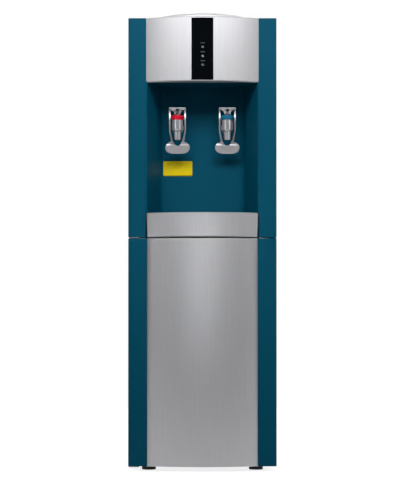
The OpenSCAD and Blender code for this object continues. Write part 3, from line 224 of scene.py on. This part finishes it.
# Clips, switch housings, mains inlet, knob, drip tray and grille: black glass-filled plastic,
# injection moulded and clipped or screwed in. The tools are spark-eroded to a fine grain.
BLACK_MOULDING = (0.014, 0.015, 0.017)
black_plastic = new_finish("black_plastic", BLACK_MOULDING, roughness=0.45)
tint(black_plastic, pattern(black_plastic, "ShaderNodeTexNoise", scale=60, Detail=3.0),
     shade(BLACK_MOULDING, 0.85), shade(BLACK_MOULDING, 1.3))
grain = pattern(black_plastic, "ShaderNodeTexVoronoi", scale=2200)
relief(black_plastic, grain, depth=0.0001, strength=0.35)
dress(black_plastic, "condenser_clips", "switch_housings", "power_inlet", "thermostat_knob",
      "drip_tray", "drip_grille")
SMALL_PART_R = 0.0004
TRAY_R = 0.0005
soften(["switch_housings", "power_inlet", "condenser_clips"], SMALL_PART_R)
soften(["drip_tray", "drip_grille"], TRAY_R, "drip_tray_drawer")
soften(["thermostat_knob"], SMALL_PART_R, "thermostat_dial")

# Cold and hot tank: spun stainless steel vessels that stand on their shelf and stand.
# Spinning and polishing leave fine level rings round them.
STAINLESS = (0.55, 0.55, 0.56)
stainless = new_finish("stainless_steel", STAINLESS, roughness=0.28, metallic=1.0)
rings = pattern(stainless, "ShaderNodeTexNoise", scale=700, stretch=(0.02, 0.02, 1), Detail=2.0)
gloss(stainless, rings, low=0.20, high=0.36)
relief(stainless, rings, depth=0.00005, strength=0.4)
dress(stainless, "cold_tank", "hot_tank")

# Insulation: cream polyurethane foam, poured round the cold tank and its coil.
# Its skin is matte, with small open bubbles.
FOAM = (0.72, 0.66, 0.48)
foam = new_finish("poured_foam", FOAM, roughness=0.9)
bubbles = pattern(foam, "ShaderNodeTexVoronoi", scale=420)
tint(foam, bubbles, shade(FOAM, 0.8), shade(FOAM, 1.05))
relief(foam, bubbles, depth=0.0006, strength=0.8)
dress(foam, "tank_insulation")

# Water hoses: extruded translucent silicone, pushed over the barbs of the tanks and the taps.
# They are slightly cloudy, and matte from the powder that they are packed in.
SILICONE = (0.74, 0.76, 0.76)
silicone = new_finish("silicone_hose", SILICONE, roughness=0.4, Transmission_Weight=0.25)
tint(silicone, pattern(silicone, "ShaderNodeTexNoise", scale=50), shade(SILICONE, 0.93), SILICONE)
dress(silicone, "water_hoses")

# Top cover, bottle seat, cabinet liner, wire shelf and the inner plate of the door: white
# plastic, and on the shelf a white dip coat. All are glossy, with slight waves in the walls.
WHITE = (0.62, 0.63, 0.64)
white = new_finish("white_plastic", WHITE, roughness=0.30, Coat_Weight=0.2, Coat_Roughness=0.1)
tint(white, pattern(white, "ShaderNodeTexNoise", scale=12, Detail=2.0),
     shade(WHITE, 0.97), shade(WHITE, 1.02))
relief(white, pattern(white, "ShaderNodeTexNoise", scale=60), depth=0.0003, strength=0.12)
dress(white, "top_cover", "bottle_seat", "cabinet_liner", "door_liner", "drain_cap",
      "cabinet_shelf")
MOULD_R = 0.0006
soften(["top_cover", "bottle_seat", "cabinet_liner", "drain_cap"], MOULD_R)
soften(["door_liner"], MOULD_R, "door")

# Upper front, niche and door frame: teal plastic, injection moulded in one colour with the
# painted sides. The walls are satin, with slight flow marks along the mould.
teal_plastic = new_finish("teal_plastic", TEAL, roughness=0.48, Specular_IOR_Level=0.05)
flow_marks = pattern(teal_plastic, "ShaderNodeTexNoise", scale=7, stretch=(1, 1, 0.25), Detail=2.0)
tint(teal_plastic, flow_marks, shade(TEAL, 0.985), shade(TEAL, 1.015))
gloss(teal_plastic, pattern(teal_plastic, "ShaderNodeTexNoise", scale=60, Detail=3.0),
      low=0.45, high=0.51)
satin_grain = pattern(teal_plastic, "ShaderNodeTexNoise", scale=1500)
relief(teal_plastic, satin_grain, depth=0.00004, strength=0.2)
dress(teal_plastic, "upper_front", "tap_niche", "door_frame")
soften(["upper_front", "tap_niche"], MOULD_R)
soften(["door_frame"], MOULD_R, "door")

# Control fascia, door skin and tray front: thin plastic shells with a silver metallic lacquer,
# clipped over the teal mouldings. The lacquer carries fine flakes over an upright brushing.
SILVER = (0.51, 0.51, 0.53)
silver = new_finish("silver_lacquer", SILVER, roughness=0.49, metallic=0.78)
brushing = pattern(silver, "ShaderNodeTexNoise", scale=900, stretch=(1, 1, 0.012), Detail=3.0)
gloss(silver, brushing, low=0.46, high=0.52)
tint(silver, pattern(silver, "ShaderNodeTexNoise", scale=500, stretch=(1, 1, 0.03), Detail=4.0),
     shade(SILVER, 0.96), shade(SILVER, 1.03))
relief(silver, brushing, depth=0.00004, strength=0.3)
dress(silver, "control_fascia", "door_panel", "tray_front")
soften(["door_panel"], MOULD_R, "door")
soften(["tray_front"], MOULD_R, "drip_tray_drawer")

# Indicator window: a black acrylic pane, moulded to the curve of the fascia and let into it.
# Three clear lenses pass through it over the lamps of the board behind.
PANE = (0.0012, 0.002, 0.003)
pane = new_finish("black_acrylic", PANE, roughness=0.06, Specular_IOR_Level=0.35)
gloss(pane, pattern(pane, "ShaderNodeTexNoise", scale=40, Detail=4.0), low=0.04, high=0.09)
dress(pane, "indicator_window")
soften(["indicator_window"], SMALL_PART_R)
LENS = (0.05, 0.06, 0.062)
lens = new_finish("clear_lens", LENS, roughness=0.15)
tint(lens, pattern(lens, "ShaderNodeTexNoise", scale=300), shade(LENS, 0.8), shade(LENS, 1.3))
dress(lens, "indicator_lenses")

# Signs under the three lenses: heat, cold and power, printed on the window in pale ink.
# Their strokes follow the curve of the pane.
INK = (0.38, 0.41, 0.41)
INK_LINE = 0.00055
INK_ON_PANE = 0.00004
WINDOW_R = 0.2896
SIGN_DROP = 0.0077
LENS_PITCH = 0.0186
ink = new_finish("pale_ink", INK, roughness=0.5, Specular_IOR_Level=0.3)
tint(ink, pattern(ink, "ShaderNodeTexNoise", scale=3000), shade(INK, 0.85), INK)


def arc(radius, start, stop, steps=24):
    """Points on an arc, with its angles in degrees from the right, against the clock."""
    turns = [math.radians(start + (stop - start) * i / steps) for i in range(steps + 1)]
    return [(radius * math.cos(turn), radius * math.sin(turn)) for turn in turns]


def printed(name, lines, width, place, body, finish=ink):
    """Flat strokes of ink along lines of points, which place lays on the surface."""
    form = bmesh.new()
    for line in lines:
        rails = []
        for i, point in enumerate(line):
            along = Vector(line[min(i + 1, len(line) - 1)]) - Vector(line[max(i - 1, 0)])
            side = Vector((-along.y, along.x)).normalized() * width / 2
            rails.append([form.verts.new(place(*(Vector(point) + side * way)))
                          for way in (1, -1)])
        for here, ahead in zip(rails, rails[1:]):
            form.faces.new((here[0], here[1], ahead[1], ahead[0]))
    mesh = bpy.data.meshes.new(name)
    form.to_mesh(mesh)
    form.free()
    mesh.materials.append(finish)
    sign = bpy.data.objects.new(name, mesh)
    bpy.context.scene.collection.objects.link(sign)
    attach(sign, body)


WAVE_STEPS, WAVE_SWAY, WAVE_HEIGHT, WAVE_GAP = 12, 0.0004, 0.0044, 0.0018
heat_sign = [[(x + WAVE_SWAY * math.sin(math.tau * i / WAVE_STEPS),
               WAVE_HEIGHT * (i / WAVE_STEPS - 0.5)) for i in range(WAVE_STEPS + 1)]
             for x in (-WAVE_GAP, 0.0, WAVE_GAP)]
FLAKE_R, BARB_FROM, BARB_TO, BARB_SIDE = 0.0024, 0.0013, 0.0020, 0.0007
cold_sign = []
for turn in range(30, 360, 60):
    spoke = Vector((math.cos(math.radians(turn)), math.sin(math.radians(turn))))
    cold_sign.append([(0, 0), tuple(spoke * FLAKE_R)])
    for way in (-BARB_SIDE, BARB_SIDE):
        cold_sign.append([tuple(spoke * BARB_FROM),
                          tuple(spoke * BARB_TO + spoke.orthogonal() * way)])
POWER_R = 0.0021
power_sign = [arc(POWER_R, 125, 415), [(0, 0.0002), (0, 0.0026)]]
lens_low, lens_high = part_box("indicator_lenses")
lens_middle = (lens_low[0] + lens_high[0]) / 2
window_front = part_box("indicator_window")[0][1]
for step, (title, lines) in enumerate([("power_sign", power_sign), ("cold_sign", cold_sign),
                                       ("heat_sign", heat_sign)]):
    sign_z = lens_low[2] + LENS_PITCH * step - SIGN_DROP

    def on_window(u, v):
        """A place on the pane, which curves back from its middle."""
        x = lens_middle + u
        swell = WINDOW_R - math.sqrt(WINDOW_R ** 2 - x ** 2)
        return (x, window_front + swell - INK_ON_PANE, sign_z + v)

    printed(title, lines, INK_LINE, on_window, "root")

# Control board: green laminate on four posts behind the fascia.
# It is etched and soldered in a bath, so the mask has a fine mottle of tracks.
LAMINATE = (0.01, 0.10, 0.03)
laminate = new_finish("green_laminate", LAMINATE, roughness=0.35)
tint(laminate, pattern(laminate, "ShaderNodeTexVoronoi", scale=260),
     shade(LAMINATE, 0.6), shade(LAMINATE, 1.4))
dress(laminate, "control_board")

# Tap bodies and levers: plastic with a chrome plating, held by nuts behind the niche.
# The plating is even, with soft wear where hands and cups touch it.
CHROME = (0.68, 0.68, 0.71)
chrome = new_finish("chrome_plating", CHROME, roughness=0.16, metallic=0.72)
wear = pattern(chrome, "ShaderNodeTexNoise", scale=160, Detail=2.0)
gloss(chrome, wear, low=0.15, high=0.17)
tint(chrome, wear, shade(CHROME, 0.985), shade(CHROME, 1.015))
dress(chrome, "hot_tap_body", "cold_tap_body", "hot_tap_lever", "cold_tap_lever")
TAP_R = 0.0003
LEVER_R = 0.0005
soften(["hot_tap_body", "cold_tap_body"], TAP_R)
soften(["hot_tap_lever"], LEVER_R, "hot_lever")
soften(["cold_tap_lever"], LEVER_R, "cold_lever")

# Bonnet rings of the taps: moulded plastic, red for hot and blue for cold.
# Each is pressed into its tap body and guides the valve stem.
RING_COLOURS = {"hot_tap_ring": (0.70, 0.008, 0.030), "cold_tap_ring": (0.008, 0.150, 0.260)}
for name, colour in RING_COLOURS.items():
    ring = new_finish(name + "_plastic", colour, roughness=0.3, Specular_IOR_Level=0.15)
    tint(ring, pattern(ring, "ShaderNodeTexNoise", scale=200),
         shade(colour, 0.9), shade(colour, 1.06))
    dress(ring, name)

# Valve stems, lever pins and return springs: stainless steel, turned or wound. Each spring sits
# between the collar of its stem and the ring; its copy here is fixed and keeps its rest length.
STEEL = (0.56, 0.56, 0.57)
steel = new_finish("turned_steel", STEEL, roughness=0.25, metallic=1.0)
turning = pattern(steel, "ShaderNodeTexNoise", scale=1600, stretch=(0.1, 0.1, 1))
gloss(steel, turning, low=0.18, high=0.34)
dress(steel, "hot_tap_stem", "cold_tap_stem", "hot_tap_pin", "cold_tap_pin", "hot_tap_spring",
      "cold_tap_spring")
for which in ("hot", "cold"):
    coil_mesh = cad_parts[which + "_tap_spring"].data.copy()
    spring = bpy.data.objects.new(which + "_return_spring", coil_mesh)
    bpy.context.scene.collection.objects.link(spring)
    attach(spring, "root")
    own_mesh(spring)
    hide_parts(which + "_tap_spring")

# Rocker switches on the back: glossy plastic, red for the heater and green for the cooler.
# Each is snapped into its housing on two pivot stubs.
ROCKER_COLOURS = {"hot_switch": (0.42, 0.008, 0.008), "cold_switch": (0.006, 0.14, 0.03)}
for name, colour in ROCKER_COLOURS.items():
    rocker = new_finish(name + "_plastic", colour, roughness=0.25,
                        Coat_Weight=0.4, Coat_Roughness=0.08)
    tint(rocker, pattern(rocker, "ShaderNodeTexNoise", scale=90),
         shade(colour, 0.85), shade(colour, 1.1))
    dress(rocker, name)
soften(["hot_switch"], SMALL_PART_R, "hot_rocker")
soften(["cold_switch"], SMALL_PART_R, "cold_rocker")

# Marks on the rockers: the ring of off on the upper slope and the bar of on on the lower one.
# Both are printed in pale ink.
ROCKER_AT = {"hot": (-0.104, 0.132, 0.880), "cold": (-0.072, 0.132, 0.880)}
ROCKER_TILT = Matrix.Rotation(math.radians(10), 4, "X")
ROCKER_RISE, ROCKER_HALF = 0.0028, 0.012
ROCKER_SLOPE = math.atan(ROCKER_RISE / ROCKER_HALF)
SLOPE_MIDDLE_Y, SLOPE_MIDDLE_Z = 0.0056, 0.006
INK_ON_PANEL = 0.00005
MARK_LINE = 0.0007
off_mark = [arc(0.0019, 0, 360)]
on_mark = [[(0, -0.0022), (0, 0.0022)]]
for which, middle in ROCKER_AT.items():
    for half, lines, title in ((1, off_mark, "_off_mark"), (-1, on_mark, "_on_mark")):
        lean = Matrix.Rotation(-half * ROCKER_SLOPE, 4, "X")
        slope_middle = Vector((0, SLOPE_MIDDLE_Y, half * SLOPE_MIDDLE_Z))

        def on_rocker(u, v):
            """A place on one slope of the rocker, which is tilted at rest."""
            flat = lean @ Vector((-u, INK_ON_PANEL, v)) + slope_middle
            return ROCKER_TILT @ flat + Vector(middle)

        printed(which + title, lines, MARK_LINE, on_rocker, which + "_rocker")

# Scale round the thermostat knob: lines and numbers from 0 to 6 in black ink.
# It is printed on the bare plating of the back panel.
BLACK_INK = (0.015, 0.015, 0.016)
black_ink = new_finish("black_ink", BLACK_INK, roughness=0.5, Specular_IOR_Level=0.3)
tint(black_ink, pattern(black_ink, "ShaderNodeTexNoise", scale=3000),
     BLACK_INK, shade(BLACK_INK, 2))
KNOB_AT = (0.104, 0.135, 0.880)
NUMBERS = 7
NUMBER_STEP = 45
NUMBER_HEIGHT = 0.0062
NUMBER_R = 0.0208
SCALE_R, LONG_TO, SHORT_TO = 0.0142, 0.0172, 0.0158
SCALE_LINE = 0.0006


def on_panel(u, v):
    """A place on the back panel beside the knob, as one who stands behind it sees it."""
    return (KNOB_AT[0] - u, KNOB_AT[1] + INK_ON_PANEL, KNOB_AT[2] + v)


def spoke_line(turn, inner, outer):
    """A short line that points to the middle, at a turn in degrees from the top."""
    way = (-math.sin(math.radians(turn)), math.cos(math.radians(turn)))
    return [(way[0] * inner, way[1] * inner), (way[0] * outer, way[1] * outer)]


scale_lines = [spoke_line(NUMBER_STEP * i, SCALE_R, LONG_TO) for i in range(NUMBERS)]
scale_lines += [spoke_line(NUMBER_STEP * (i + 0.5), SCALE_R, SHORT_TO)
                for i in range(NUMBERS - 1)]
printed("thermostat_scale", scale_lines, SCALE_LINE, on_panel, "root", black_ink)
for i in range(NUMBERS):
    figure = bpy.data.curves.new("scale_figure", "FONT")
    figure.body = str(i)
    figure.size = NUMBER_HEIGHT
    figure.align_x = "CENTER"
    figure.align_y = "CENTER"
    shaper = bpy.data.objects.new("scale_figure", figure)
    bpy.context.scene.collection.objects.link(shaper)
    bpy.context.view_layer.update()
    figure_mesh = bpy.data.meshes.new_from_object(shaper)
    bpy.data.objects.remove(shaper)
    turn = math.radians(NUMBER_STEP * i)
    at = on_panel(-NUMBER_R * math.sin(turn), NUMBER_R * math.cos(turn))
    figure_mesh.transform(Matrix.Translation(at) @ Matrix.Rotation(math.pi, 4, "Z")
                          @ Matrix.Rotation(math.pi / 2, 4, "X"))
    figure_mesh.materials.clear()
    figure_mesh.materials.append(black_ink)
    number = bpy.data.objects.new("scale_number_" + str(i), figure_mesh)
    bpy.context.scene.collection.objects.link(number)
    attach(number, "root")

# Label on the back wall of the niche: a sheet of plain yellow vinyl with round corners, stuck
# down flat and round the start of the wall's curve. Its surface has a soft grain.
LABEL_X = (-0.0842, -0.0216)
LABEL_Z = (0.6235, 0.6555)
NICHE_BACK_Y = -0.045
CORNER_X = -0.07657
CORNER_R = 0.014
LABEL_OFF = 0.00025
LABEL_THICK = 0.00015
LABEL_ROUND = 0.002
LABEL_COLUMNS, LABEL_ROWS = 40, 8
LABEL_YELLOW = (0.84, 0.63, 0.004)


def label_point(x, z):
    """A point just in front of the niche wall, which is flat and then rounds forwards."""
    if x > CORNER_X:
        return (x, NICHE_BACK_Y - LABEL_OFF, z)
    turn = (CORNER_X - x) / CORNER_R
    reach = CORNER_R - LABEL_OFF
    return (CORNER_X - reach * math.sin(turn),
            NICHE_BACK_Y - CORNER_R + reach * math.cos(turn), z)


vinyl_sheet = bmesh.new()
columns = []
for i in range(LABEL_COLUMNS + 1):
    x = LABEL_X[0] + (LABEL_X[1] - LABEL_X[0]) * i / LABEL_COLUMNS
    inset = max(0.0, LABEL_ROUND - min(x - LABEL_X[0], LABEL_X[1] - x))
    pull = LABEL_ROUND - math.sqrt(max(0.0, LABEL_ROUND ** 2 - inset ** 2))
    height = LABEL_Z[1] - LABEL_Z[0] - 2 * pull
    columns.append([vinyl_sheet.verts.new(
        label_point(x, LABEL_Z[0] + pull + height * j / LABEL_ROWS))
        for j in range(LABEL_ROWS + 1)])
for left, right in zip(columns, columns[1:]):
    for j in range(LABEL_ROWS):
        vinyl_sheet.faces.new((left[j], right[j], right[j + 1], left[j + 1]))
label_mesh = bpy.data.meshes.new("niche_label")
vinyl_sheet.to_mesh(label_mesh)
vinyl_sheet.free()
label_mesh.shade_smooth()
label = bpy.data.objects.new("niche_label", label_mesh)
bpy.context.scene.collection.objects.link(label)
thick = label.modifiers.new("vinyl", "SOLIDIFY")
thick.thickness = LABEL_THICK
vinyl = new_finish("yellow_vinyl", LABEL_YELLOW, roughness=0.42, Specular_IOR_Level=0.12)
tint(vinyl, pattern(vinyl, "ShaderNodeTexNoise", scale=120, Detail=4.0),
     shade(LABEL_YELLOW, 0.93), shade(LABEL_YELLOW, 1.04))
relief(vinyl, pattern(vinyl, "ShaderNodeTexNoise", scale=500), depth=0.00005, strength=0.3)
label_mesh.materials.append(vinyl)
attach(label, "root")

# Studio room: a white cove behind the cooler, with a dim room in front of it.
# Metal and glass mirror the cove, and the camera sees it plain white all round.
COVE_FROM, COVE_TO = -0.1, 0.4
ROOM_DIM = 0.05
ROOM_GLOW = 0.06
BRIGHT = (1, 1, 1, 1)


def seen_factor(nodes, links):
    """1 for what the camera, a gloss or a clear piece sees, and 0 for light on matte surfaces."""
    path = nodes.new("ShaderNodeLightPath")
    mirror = nodes.new("ShaderNodeMath")
    mirror.operation = "MAXIMUM"
    links.new(path.outputs["Is Camera Ray"], mirror.inputs[0])
    links.new(path.outputs["Is Glossy Ray"], mirror.inputs[1])
    clear = nodes.new("ShaderNodeMath")
    clear.operation = "MAXIMUM"
    links.new(mirror.outputs["Value"], clear.inputs[0])
    links.new(path.outputs["Is Transmission Ray"], clear.inputs[1])
    return path, clear.outputs["Value"]


world = bpy.data.worlds.new("studio")
bpy.context.scene.world = world
world.use_nodes = True
nodes, links = world.node_tree.nodes, world.node_tree.links
nodes.clear()
path, seen = seen_factor(nodes, links)
heading = nodes.new("ShaderNodeTexCoord")
axes = nodes.new("ShaderNodeSeparateXYZ")
links.new(heading.outputs["Generated"], axes.inputs["Vector"])
cove = nodes.new("ShaderNodeMapRange")
cove.inputs["From Min"].default_value = COVE_FROM
cove.inputs["From Max"].default_value = COVE_TO
cove.inputs["To Min"].default_value = ROOM_DIM
cove.inputs["To Max"].default_value = 1.0
links.new(axes.outputs["Y"], cove.inputs["Value"])
plain = nodes.new("ShaderNodeMath")
plain.operation = "MAXIMUM"
links.new(cove.outputs["Result"], plain.inputs[0])
links.new(path.outputs["Is Camera Ray"], plain.inputs[1])
room = nodes.new("ShaderNodeBackground")
room.inputs["Color"].default_value = BRIGHT
links.new(plain.outputs["Value"], room.inputs["Strength"])
glow = nodes.new("ShaderNodeBackground")
glow.inputs["Color"].default_value = BRIGHT
glow.inputs["Strength"].default_value = ROOM_GLOW
mix = nodes.new("ShaderNodeMixShader")
links.new(seen, mix.inputs["Fac"])
links.new(glow.outputs["Background"], mix.inputs[1])
links.new(room.outputs["Background"], mix.inputs[2])
out = nodes.new("ShaderNodeOutputWorld")
links.new(mix.outputs["Shader"], out.inputs["Surface"])

# Studio floor: a round white floor that runs on behind the cooler and keeps its shadow.
# It is matte, and lifted to white for the camera and for mirrored rays.
FLOOR_R = 1.65
FLOOR_SIDES = 96
FLOOR_FRONT = 0.95
FLOOR_GREY = (0.45, 0.45, 0.45, 1)
FLOOR_LIFT = 0.78
floor_mesh = bpy.data.meshes.new("studio_floor")
rim = bmesh.new()
bmesh.ops.create_circle(rim, cap_ends=True, segments=FLOOR_SIDES, radius=FLOOR_R)
rim.to_mesh(floor_mesh)
rim.free()
floor = bpy.data.objects.new("studio_floor", floor_mesh)
bpy.context.scene.collection.objects.link(floor)
floor.location.y = FLOOR_R - FLOOR_FRONT
floor_paint = bpy.data.materials.new("studio_floor")
floor_paint.use_nodes = True
nodes, links = floor_paint.node_tree.nodes, floor_paint.node_tree.links
nodes.clear()
seen = seen_factor(nodes, links)[1]
matte = nodes.new("ShaderNodeBsdfDiffuse")
matte.inputs["Color"].default_value = FLOOR_GREY
lift = nodes.new("ShaderNodeEmission")
lift.inputs["Color"].default_value = BRIGHT
lift_level = nodes.new("ShaderNodeMath")
lift_level.operation = "MULTIPLY"
lift_level.inputs[1].default_value = FLOOR_LIFT
links.new(seen, lift_level.inputs[0])
links.new(lift_level.outputs["Value"], lift.inputs["Strength"])
both = nodes.new("ShaderNodeAddShader")
links.new(matte.outputs["BSDF"], both.inputs[0])
links.new(lift.outputs["Emission"], both.inputs[1])
out = nodes.new("ShaderNodeOutputMaterial")
links.new(both.outputs["Shader"], out.inputs["Surface"])
floor_mesh.materials.append(floor_paint)

# Lamps: one broad softbox close in front, a little above the fascia, and weaker ones for the
# sides, the back and the top. A low one lights the tray and the door, and two upright strips
# give the chrome its highlights. The camera doesn't see them.


def softbox(name, place, aim, width, height, watts, spread=180):
    """A rectangular area lamp, with its spread in degrees."""
    lamp = bpy.data.lights.new(name, "AREA")
    lamp.shape = "RECTANGLE"
    lamp.size = width
    lamp.size_y = height
    lamp.energy = watts
    lamp.spread = math.radians(spread)
    holder = bpy.data.objects.new(name, lamp)
    holder.location = place
    holder.rotation_mode = "QUATERNION"
    holder.rotation_quaternion = (Vector(aim) - Vector(place)).to_track_quat("-Z", "Y")
    holder.visible_camera = False
    bpy.context.scene.collection.objects.link(holder)


softbox("front_softbox", (0, -0.98, 1.34), (0, -0.14, 0.72), 1.4, 0.3, 12.5)
softbox("left_softbox", (-2.3, 1.5, 1.1), (0, 0, 0.5), 1.4, 1.6, 48)
softbox("right_softbox", (2.3, 1.5, 1.1), (0, 0, 0.5), 1.4, 1.6, 48)
softbox("back_softbox", (0, 2.8, 1.3), (0, 0, 0.5), 1.6, 1.2, 12)
softbox("top_softbox", (0, 0.5, 2.8), (0, 0.1, 0.9), 1.2, 1.2, 7)
softbox("low_softbox", (0, -2.2, 0.46), (0, -0.14, 0.47), 0.6, 0.12, 0.09, 20)
softbox("left_strip", (-1.25, -1.35, 0.8), (0, -0.1, 0.7), 0.3, 1.2, 2.2)
softbox("right_strip", (1.4, -1.25, 0.8), (0, -0.1, 0.7), 0.35, 1.2, 2.6)

# Camera: a little over 0.3 m above the floor and 3.5 m in front of the strips. A lens shift
# keeps the sides of the cooler upright in the frame.
PHOTO_W, PHOTO_H = 401, 500
MM_PER_PX = 2.086
STRIP_Y = -0.141
CAMERA_BACK = 3.5
HORIZON_PX = 320
CENTRE_PX = 202.4
SHIFT_Y = 0.10
EYE_Z = 0.315
SENSOR_MM = 36
camera = bpy.data.objects.new("camera", bpy.data.cameras.new("camera"))
bpy.context.scene.collection.objects.link(camera)
pixels_deep = CAMERA_BACK * 1000 / MM_PER_PX
camera.data.sensor_width = SENSOR_MM
camera.data.lens = SENSOR_MM * pixels_deep / PHOTO_H
camera.data.shift_x = (PHOTO_W / 2 - CENTRE_PX) / PHOTO_H
camera.data.shift_y = SHIFT_Y
tilt = math.atan((HORIZON_PX - PHOTO_H / 2 - SHIFT_Y * PHOTO_H) / pixels_deep)
camera.location = (0, STRIP_Y - CAMERA_BACK, EYE_Z)
camera.rotation_euler = (math.pi / 2 + tilt, 0, 0)
bpy.context.scene.camera = camera
bpy.context.scene.view_settings.view_transform = "Standard"
